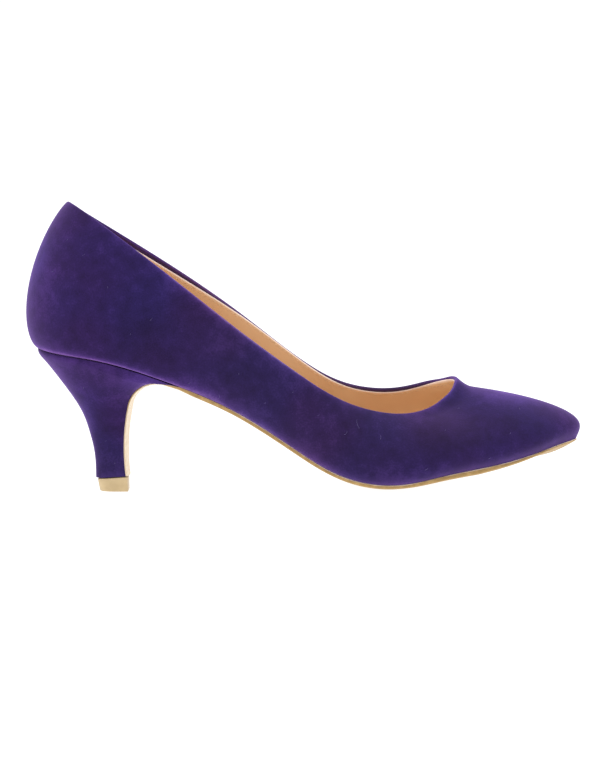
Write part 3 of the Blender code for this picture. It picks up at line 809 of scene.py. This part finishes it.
seat_columns = [k % COLUMNS for k in range(SOLE_BACK, -SOLE_BACK - 1, -1)]
seat_shares = [(1 + SEAT_PROUD) * (1 - k / SEAT_RINGS) for k in range(SEAT_RINGS + 1)]
seat = bottom(seat_shares)[:, seat_columns] - np.array((0.0, 0.0, SEAT_GAP))
rim = seat[0]
back_x, front_x = rim[:, 0].min(), rim[:, 0].max()
share_back = (rim[:, 0] - back_x) / (front_x - back_x)
tip_side = np.sign(rim[:, 1]) * tip_outline(share_back)
tip_z = TIP_BACK_HEIGHT + (TIP_FRONT_HEIGHT - TIP_BACK_HEIGHT) * share_back + GAP
seat_crown = feather[SEAT_FRONT, 2] - spine[SEAT_FRONT, 2]
across = np.linspace(-1, 1, 2 * SEAT_RINGS + 1)
crown_shape = 1 - np.abs(across) ** BOTTOM_ROUND
heel_walls = [rim]
heel_front = [np.concatenate([seat[:, 0], seat[-2::-1, -1]])]
for k in range(1, HEEL_LEVELS + 1):
    down = k / HEEL_LEVELS
    back_flare, side_flare = flare_curve(1 - down)[0]
    (breast_x, breast_z), outward, crown_left = breast(down)
    back_edge = TIP_BACK + (back_x - TIP_BACK) * back_flare
    level = np.empty_like(rim)
    level[:, 0] = back_edge + (breast_x - back_edge) * share_back
    level[:, 1] = tip_side + (rim[:, 1] - tip_side) * side_flare
    level[:, 2] = tip_z + (rim[:, 2] - tip_z) * (1 - down)
    level[:, 2] += (breast_z - level[:, 2]) * share_back ** BREAST_PULL
    heel_walls.append(level)
    row = level[0] + (level[-1] - level[0]) * (across[:, None] + 1) / 2
    row[:, 2] -= seat_crown * crown_shape * crown_left
    row[:, [0, 2]] += outward * (BREAST_BOW * (1 - across ** 2) * (1 - crown_left))[:, None]
    heel_front.append(row)
bm = bmesh.new()
for rows in (seat, heel_walls, heel_front):
    add_sheet(bm, rows)
bmesh.ops.remove_doubles(bm, verts=bm.verts[:], dist=SHEET_WELD)
close_holes(bm)
round_edges(bm, [edge for edge in bm.edges if edge.calc_face_angle(0.0) > HEEL_CORNER], HEEL_ROUND)
heel_mesh = bpy.data.meshes.new("suede_heel")
bm.to_mesh(heel_mesh)
bm.free()

# The heel's own patches of nap and painted highlights, with painted shade in the seat's seam, painted light
# under it against the shade there, and redder below
HEEL_BRUSHED = (
    Brushed("cup back", 0, 12.0, 50.0, 7.0, 10.0, 0.08),
    Brushed("neck back", 0, 25.0, 32.0, 5.0, 14.0, 0.12),
    Brushed("seat front", 0, 54.0, 50.0, 9.0, 4.0, 0.24),
    Brushed("stem front", -1, 41.0, 18.0, 8.0, 12.0, 0.06),
    Brushed("hem", 0, 36.0, 6.5, 12.0, 2.5, 0.10),
)
heel_points = np.array([vert.co for vert in heel_mesh.vertices]) - last_to_frame
# The nap's lie together with the painted highlights and painted shade of the heel's patches
heel_nap = brushed_nap(heel_points, HEEL_BRUSHED)
rim_back = len(rim) // 2
below_seat = np.interp(heel_points[:, 0], rim[rim_back::-1, 0], rim[rim_back::-1, 2]) - heel_points[:, 2]
forward = np.interp(heel_points[:, 0], (SEAT_LIFT_START, SEAT_LIFT_FULL), (0.0, 1.0))
# Painted shade in the seam under the upper, and painted light below it towards the front against the shade
# there
heel_nap -= SEAT_SHADE * np.exp(-below_seat / SEAT_SHADE_BAND)
heel_nap += SEAT_LIFT * forward * np.exp(-below_seat / SEAT_LIFT_BAND)
heel_warm = np.interp(heel_points[:, 2], (HEEL_WARM_LOW, HEEL_WARM_HIGH), (1.0, 0.0))
mark(heel_mesh, nap=heel_nap, warm=heel_warm)
heel = add_piece(heel_mesh, purple_suede("purple heel suede"))
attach(heel, "root")
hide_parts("heel")

# Sole
# A thin tan leather board, cemented under the margin from the toe to the waist and on down the heel's front.
# Its cut edge is inked a golden tan all round, and its tread is smooth.
SOLE_PROUD = 0.004
SOLE_GAP = 0.05 * MM
SOLE_RINGS = 12
FLAP_ROWS = 70
FLAP_END = 78.0 * MM
FLAP_FADE = 14.0 * MM
EDGE_ROUND = 0.3 * MM
CORNER_ROUND = 0.42 * MM
TOE_INK_START = 200.0 * MM
TOE_INK_END = 228.0 * MM
TOE_INK = 0.5
TREAD, EDGE, CORNER = range(3)
Depth = namedtuple("Depth", "place along depth")
SOLE_DEPTH = (
    Depth("flap", 60.0, 0.9),
    Depth("shank", 74.0, 1.9),
    Depth("waist", 90.0, 1.7),
    Depth("ball", 160.0, 1.5),
    Depth("vamp", 195.0, 2.1),
    Depth("toe side", 221.0, 1.0),
    Depth("toe tip", 239.1, 0.7),
)
sole_shares = [(1 + SOLE_PROUD) * (1 - k / SOLE_RINGS) for k in range(SOLE_RINGS + 1)]
sole_spokes = bottom(sole_shares) - np.array((0.0, 0.0, SOLE_GAP))
sole_rows = [np.concatenate([sole_spokes[:, column], sole_spokes[-2::-1, opposite[column]]])
             for column in range(TOE_COLUMN, SOLE_BACK - 1, -1)]
flap_across = np.linspace(-1, 1, 2 * SOLE_RINGS + 1)
seat_half = abs(rim[0, 1])
for k in range(FLAP_ROWS + 1):
    (x, z), outward, crown_left = breast(k / FLAP_ROWS)
    half = TIP_HALF_WIDTH + (seat_half - TIP_HALF_WIDTH) * flare_curve(1 - k / FLAP_ROWS)[0, 1]
    sag = seat_crown * (1 - np.abs(flap_across) ** BOTTOM_ROUND) * crown_left
    out = SOLE_GAP + BREAST_BOW * (1 - flap_across ** 2) * (1 - crown_left)
    flap_row = [x + outward[0] * out, flap_across * half, z + outward[1] * out - sag]
    sole_rows.append(np.stack(flap_row, axis=1))
bm = bmesh.new()
add_sheet(bm, sole_rows[::-1])
bmesh.ops.remove_doubles(bm, verts=bm.verts[:], dist=SHEET_WELD)
bm.normal_update()
push = bm.verts.layers.float_vector.new("push")
depth_places = [row.along * MM + last_to_frame[0] for row in SOLE_DEPTH]
depths = [row.depth * MM for row in SOLE_DEPTH]
for vert in bm.verts:
    vert[push] = vert.normal * float(np.interp(vert.co.x, depth_places, depths))
lower = bmesh.ops.extrude_face_region(bm, geom=bm.faces[:], use_keep_orig=True)["geom"]
lower_points = {part for part in lower if isinstance(part, bmesh.types.BMVert)}
for vert in lower_points:
    vert.co += vert[push]
for vert in bm.verts:
    vert.co.z = max(vert.co.z, 0.0)
bmesh.ops.recalc_face_normals(bm, faces=bm.faces[:])
for face in bm.faces:
    on_edge = len(lower_points.intersection(face.verts)) not in (0, len(face.verts))
    face.material_index = EDGE if on_edge else TREAD
rims = [edge for edge in bm.edges if len({face.material_index for face in edge.link_faces}) == 2]
top_rims = [edge for edge in rims if not lower_points.intersection(edge.verts)]
low_rims = [edge for edge in rims if lower_points.issuperset(edge.verts)]
round_edges(bm, low_rims, EDGE_ROUND)
# The rounded top corner takes the painted highlight
for face in round_edges(bm, top_rims, CORNER_ROUND):
    face.material_index = CORNER
sole_mesh = bpy.data.meshes.new("leather_sole")
bm.to_mesh(sole_mesh)
bm.free()
sole_along = np.array([vert.co.x for vert in sole_mesh.vertices]) - last_to_frame[0]
# Painted highlight: the flap's share of the paler colour, fading out under the waist
flap = np.clip((FLAP_END - sole_along) / FLAP_FADE, 0, 1)
# Painted shade: the inked edge darker towards the toe, against the light that falls there
toe_ink = np.interp(sole_along, (TOE_INK_START, TOE_INK_END), (0.0, TOE_INK))
mark(sole_mesh, flap=flap, toe_ink=toe_ink)

# Smooth tan sole leather: a low waxed gloss and faint long streaks along the shoe.
# The flap down the heel is painted paler, a painted highlight for the light that falls on it; the part under
# the foot is stained golden tan.
sole_tan, tree, shader = surface("tan sole leather", {"Roughness": 0.45, "IOR": 1.5})
place = add_node(tree, "ShaderNodeTexCoord").outputs["Object"]
stretched = add_node(tree, "ShaderNodeMapping", {"Vector": place, "Scale": (0.12, 1.0, 1.0)})
streak = add_node(tree, "ShaderNodeTexNoise", {
    "Vector": stretched.outputs[0], "Scale": 1 / (1.6 * MM), "Detail": 4.0})
stained = add_node(tree, "ShaderNodeValToRGB", {"Fac": streak.outputs["Fac"]})
set_ramp(stained, ((0.30, "#ac8a50"), (0.55, "#b39055"), (0.75, "#bb995e")))
# Painted highlight: paler colours for the flap
bare = add_node(tree, "ShaderNodeValToRGB", {"Fac": streak.outputs["Fac"]})
set_ramp(bare, ((0.30, "#e6d2b4"), (0.55, "#eedec5"), (0.75, "#f5ead8")))
share = add_node(tree, "ShaderNodeAttribute", attribute_name="flap")
mix = add_node(tree, "ShaderNodeMix", {
    MIX_SHARE: share.outputs["Fac"], MIX_UNDER: stained.outputs["Color"], MIX_OVER: bare.outputs["Color"],
}, data_type="RGBA")
tree.links.new(mix.outputs[MIX_OUT], shader.inputs["Base Color"])
bump = add_node(tree, "ShaderNodeBump", {
    "Height": streak.outputs["Fac"], "Strength": 0.15, "Distance": 0.1 * MM})
tree.links.new(bump.outputs["Normal"], shader.inputs["Normal"])

# Cut leather edge, inked golden tan and buffed: a soft satin with small uneven spots.
edge_ink, tree, shader = surface("golden edge ink", {"Roughness": 0.4, "IOR": 1.5})
place = add_node(tree, "ShaderNodeTexCoord").outputs["Object"]
spot = add_node(tree, "ShaderNodeTexNoise", {"Vector": place, "Scale": 1 / (2.2 * MM), "Detail": 3.0})
ramp = add_node(tree, "ShaderNodeValToRGB", {"Fac": spot.outputs["Fac"]})
set_ramp(ramp, ((0.30, "#9c7a42"), (0.52, "#ab884c"), (0.75, "#c29f62")))
# Painted shade towards the toe
share = add_node(tree, "ShaderNodeAttribute", attribute_name="toe_ink")
mix = add_node(tree, "ShaderNodeMix", {
    MIX_SHARE: share.outputs["Fac"], MIX_UNDER: ramp.outputs["Color"], MIX_OVER: colour("#6b5226"),
}, data_type="RGBA")
tree.links.new(mix.outputs[MIX_OUT], shader.inputs["Base Color"])
bump = add_node(tree, "ShaderNodeBump", {
    "Height": spot.outputs["Fac"], "Strength": 0.2, "Distance": 0.1 * MM})
tree.links.new(bump.outputs["Normal"], shader.inputs["Normal"])

# Corner of the sole against the upper, painted in patches of pale cream along the edge: a painted highlight
# where the edge catches the light.
bare_corner = mottled("bare leather corner", {"Roughness": 0.6}, 14.0 * MM, (
    (0.42, "#b79873"), (0.58, "#e6d0bd")))
sole = add_piece(sole_mesh, sole_tan, edge_ink, bare_corner)
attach(sole, "root")
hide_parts("outsole")

# Top piece
# A hard beige plastic tip, moulded on a steel pin that is driven up into the heel block.
# It is a flat-fronted D seen from below and a little smaller at the floor.
TIP_TAPER = 0.94
TIP_SIDES = 40
TIP_FRONT_POINTS = 12
TIP_EDGE = 0.35 * MM
TIP_EDGE_BEND = 0.3
TIP_CORNER = math.radians(60.0)


def tip_ring(height, scale):
    """Outline of the top piece at a share of its height."""
    share = 1 - np.cos(np.pi / 2 * np.arange(-TIP_SIDES, TIP_SIDES + 1) / TIP_SIDES)
    x = TIP_FRONT - (TIP_FRONT - TIP_BACK) * scale * (1 - share)
    y = np.sign(np.arange(-TIP_SIDES, TIP_SIDES + 1)) * tip_outline(share, scale)
    top = TIP_BACK_HEIGHT + (TIP_FRONT_HEIGHT - TIP_BACK_HEIGHT) * share
    curved = np.stack([x, y, top * height], axis=1)
    front = curved[-1] + (curved[0] - curved[-1]) * np.linspace(0, 1, TIP_FRONT_POINTS)[1:-1, None]
    return np.concatenate([curved, front])


edge_share = TIP_EDGE / TIP_BACK_HEIGHT
edge_scale = 1 - TIP_EDGE / TIP_HALF_WIDTH
tip_rings = [
    tip_ring(0.0, TIP_TAPER * edge_scale),
    tip_ring(edge_share * TIP_EDGE_BEND, TIP_TAPER * (1 + edge_scale) / 2),
    tip_ring(edge_share, TIP_TAPER),
    tip_ring(0.5, (1 + TIP_TAPER) / 2),
    tip_ring(1 - edge_share, 1.0),
    tip_ring(1 - edge_share * TIP_EDGE_BEND, (1 + edge_scale) / 2),
    tip_ring(1.0, edge_scale),
]
tip_mesh = ring_mesh("heel_tip", np.array(tip_rings))
bm = bmesh.new()
bm.from_mesh(tip_mesh)
close_holes(bm)
bm.to_mesh(tip_mesh)
bm.free()
tip_mesh.set_sharp_from_angle(angle=TIP_CORNER)

# Moulded hard plastic: even beige with a satin skin and faint flow clouds.
tip_beige = mottled("beige moulded plastic", {"Roughness": 0.38, "IOR": 1.52}, 5.0 * MM, (
    (0.35, "#bba379"), (0.65, "#c8b086")))
tip = add_piece(tip_mesh, tip_beige)
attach(tip, "root")
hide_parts("top_piece")

# Lint
# Loose pale fibres and specks that cling to the nap after handling.
# Each lies on the suede where it fell, a little curled.
LINT_THICKNESS = 0.10 * MM
LINT_LIFT = 0.12 * MM
LINT_POINTS = 9
LINT_FACING = 0.2
Lint = namedtuple("Lint", "piece side along z length turn curl")
LINT = (
    Lint("upper", -1, 143.5, 32.5, 4.4, -100.0, 40.0),
    Lint("upper", -1, 138.0, 27.0, 2.2, 20.0, 70.0),
    Lint("upper", -1, 153.0, 24.5, 2.6, 50.0, 90.0),
    Lint("upper", -1, 127.0, 34.5, 1.2, 10.0, 40.0),
    Lint("upper", -1, 116.0, 44.0, 0.9, 35.0, 30.0),
    Lint("upper", -1, 85.0, 42.0, 1.6, 45.0, 80.0),
    Lint("upper", -1, 72.0, 48.5, 1.1, 0.0, 60.0),
    Lint("upper", -1, 93.0, 52.0, 0.8, 70.0, 40.0),
    Lint("upper", -1, 104.0, 40.0, 0.7, 15.0, 20.0),
    Lint("upper", -1, 56.0, 76.0, 1.5, 30.0, 50.0),
    Lint("upper", -1, 38.0, 90.0, 0.9, 80.0, 20.0),
    Lint("upper", -1, 27.0, 104.0, 1.2, 5.0, 40.0),
    Lint("upper", -1, 20.0, 110.0, 1.0, 40.0, 30.0),
    Lint("upper", -1, 14.0, 97.0, 1.1, 10.0, 30.0),
    Lint("upper", -1, 48.0, 70.0, 0.7, 60.0, 20.0),
    Lint("upper", -1, 187.0, 35.0, 0.8, 15.0, 30.0),
    Lint("upper", -1, 181.0, 27.0, 0.7, 50.0, 20.0),
    Lint("upper", -1, 208.5, 24.5, 0.9, 30.0, 60.0),
    Lint("upper", -1, 214.0, 33.5, 1.0, 55.0, 50.0),
    Lint("upper", -1, 172.0, 11.5, 1.8, 10.0, 60.0),
    Lint("upper", -1, 199.0, 14.5, 1.0, 20.0, 30.0),
    Lint("upper", 1, 66.0, 72.0, 1.6, 40.0, 70.0),
    Lint("upper", 1, 120.0, 40.0, 2.4, -20.0, 90.0),
    Lint("upper", 1, 176.0, 26.0, 1.2, 60.0, 40.0),
    Lint("heel", -1, 34.0, 22.0, 0.8, 20.0, 30.0),
    Lint("heel", -1, 38.0, 12.5, 0.7, 70.0, 20.0),
    Lint("heel", -1, 26.0, 46.0, 1.0, 35.0, 40.0),
    Lint("heel", 1, 30.0, 40.0, 1.1, 15.0, 50.0),
)


def fibre_points(lint):
    """Points of one fibre lying on the suede."""
    mesh = suede_mesh if lint.piece == "upper" else heel_mesh
    count = len(mesh.vertices)
    places = np.empty(count * 3)
    normals = np.empty(count * 3)
    mesh.vertices.foreach_get("co", places)
    mesh.vertices.foreach_get("normal", normals)
    places = places.reshape(-1, 3)
    normals = normals.reshape(-1, 3)
    target = np.array((lint.along * MM, lint.z * MM)) + last_to_frame[[0, 2]]
    off = np.linalg.norm(places[:, [0, 2]] - target, axis=1)
    off[normals[:, 1] * lint.side < LINT_FACING] = np.inf
    spot = np.argmin(off)
    across = unit(np.cross((0.0, 0.0, 1.0), normals[spot]))
    upward = np.cross(normals[spot], across)
    way = math.radians(lint.turn)
    step = lint.length * MM / (LINT_POINTS - 1)
    points = [places[spot] + normals[spot] * LINT_LIFT]
    for _ in range(LINT_POINTS - 1):
        points.append(points[-1] + (across * math.cos(way) + upward * math.sin(way)) * step)
        way += math.radians(lint.curl) / (LINT_POINTS - 1)
    return points


lint_sizes = {"Thickness": LINT_THICKNESS}
lint_tree, given = path_tree("lint fibre", lint_sizes)
path = add_node(lint_tree, "GeometryNodeMeshToCurve", {"Mesh": given["Geometry"]})
half = add_node(lint_tree, "ShaderNodeMath", {0: given["Thickness"], 1: 0.5}, operation="MULTIPLY")
ring = add_node(lint_tree, "GeometryNodeCurvePrimitiveCircle", {"Resolution": 6, "Radius": half.outputs[0]})
fibre = add_node(lint_tree, "GeometryNodeCurveToMesh", {
    "Curve": path.outputs[0], "Profile Curve": ring.outputs["Curve"], "Fill Caps": True})
finish_tree(lint_tree, fibre, given)

# Loose lilac-grey fluff: thin matte fibres, a little see-through at the tips in life, drawn solid here.
lint_grey = mottled("lilac grey lint", {"Roughness": 0.9}, 0.8 * MM, (
    (0.35, "#4d4276"), (0.70, "#7d71a4")))
fibres = np.concatenate([fibre_points(lint) for lint in LINT])
fibre_lines = [(k, k + 1) for k in range(len(fibres) - 1) if (k + 1) % LINT_POINTS]
lint_piece = add_piece(grow_on_path("lint_fibres", fibres, fibre_lines, lint_tree, lint_sizes, lint_grey))
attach(lint_piece, "root")

# Studio
# A plain white table, lit a little from below, and soft light from all round.
# The camera stands level with the shoe at its outer side.
TABLE_HALF = 6.0
TABLE_DROP = 0.1 * MM
TABLE_GLOW = 0.95
ROOM_LIGHT = 1.05
table_mesh = bpy.data.meshes.new("table")
corner_signs = ((-1, -1), (1, -1), (1, 1), (-1, 1))
table_corners = [(TABLE_HALF * x, TABLE_HALF * y, -TABLE_DROP) for x, y in corner_signs]
table_mesh.from_pydata(table_corners, [], [(0, 1, 2, 3)])

# Matt white paint with a faint glow, so that the ground burns out to white as on a lit studio sweep.
white_paint = surface("matt white paint", {
    "Base Color": colour("#8c8c8c"), "Roughness": 0.9, "Emission Color": colour("#ffffff"),
    "Emission Strength": TABLE_GLOW})[0]
table = add_piece(table_mesh, white_paint)

Softbox = namedtuple("Softbox", "name where aim wide tall watts")
SOFTBOXES = (
    Softbox("front softbox", (-0.35, -1.3, 1.3), (0.0, 0.0, 0.05), 1.2, 0.9, 2.0),
    Softbox("heel side softbox", (-1.1, 0.1, 1.0), (0.0, 0.0, 0.05), 0.6, 0.9, 5.2),
    Softbox("toe side softbox", (1.25, 0.3, 0.8), (0.0, 0.0, 0.05), 0.6, 0.9, 4.0),
)
for box in SOFTBOXES:
    lamp = bpy.data.lights.new(box.name, "AREA")
    lamp.shape = "RECTANGLE"
    lamp.size, lamp.size_y, lamp.energy = box.wide, box.tall, box.watts
    holder = bpy.data.objects.new(box.name, lamp)
    holder.location = box.where
    holder.rotation_euler = (Vector(box.aim) - Vector(box.where)).to_track_quat("-Z", "Y").to_euler()
    bpy.context.scene.collection.objects.link(holder)
world = bpy.data.worlds.new("white room")
world.use_nodes = True
world.node_tree.nodes["Background"].inputs["Color"].default_value = colour("#ffffff")
world.node_tree.nodes["Background"].inputs["Strength"].default_value = ROOM_LIGHT
bpy.context.scene.world = world
bpy.context.scene.view_settings.view_transform = "Standard"

# Long lens, nearly level with the shoe, rolled one degree as in the photograph
CAMERA_AZIMUTH = math.radians(0.5)
CAMERA_HEIGHT = math.radians(5.5)
CAMERA_ROLL = math.radians(1.0)
CAMERA_DISTANCE = 1.5
FOCAL_PIXELS = 3450.0
IMAGE_TALL = 760.0
SENSOR_TALL = 36.0
AIM = (119.1 * MM, 0.0, 46.9 * MM)
aim = Vector(AIM) + Vector(last_to_frame)
backward = Vector((math.sin(CAMERA_AZIMUTH) * math.cos(CAMERA_HEIGHT),
                   -math.cos(CAMERA_AZIMUTH) * math.cos(CAMERA_HEIGHT), math.sin(CAMERA_HEIGHT)))
level_right = Vector((math.cos(CAMERA_AZIMUTH), math.sin(CAMERA_AZIMUTH), 0.0))
level_up = backward.cross(level_right)
right = level_right * math.cos(CAMERA_ROLL) - level_up * math.sin(CAMERA_ROLL)
up = level_right * math.sin(CAMERA_ROLL) + level_up * math.cos(CAMERA_ROLL)
lens = bpy.data.cameras.new("camera")
lens.sensor_fit = "VERTICAL"
lens.sensor_height = SENSOR_TALL
lens.lens = FOCAL_PIXELS / IMAGE_TALL * lens.sensor_height
camera = bpy.data.objects.new("camera", lens)
camera.matrix_world = Matrix((right, up, backward)).transposed().to_4x4()
camera.location = aim + backward * CAMERA_DISTANCE
bpy.context.scene.collection.objects.link(camera)
bpy.context.scene.camera = camera
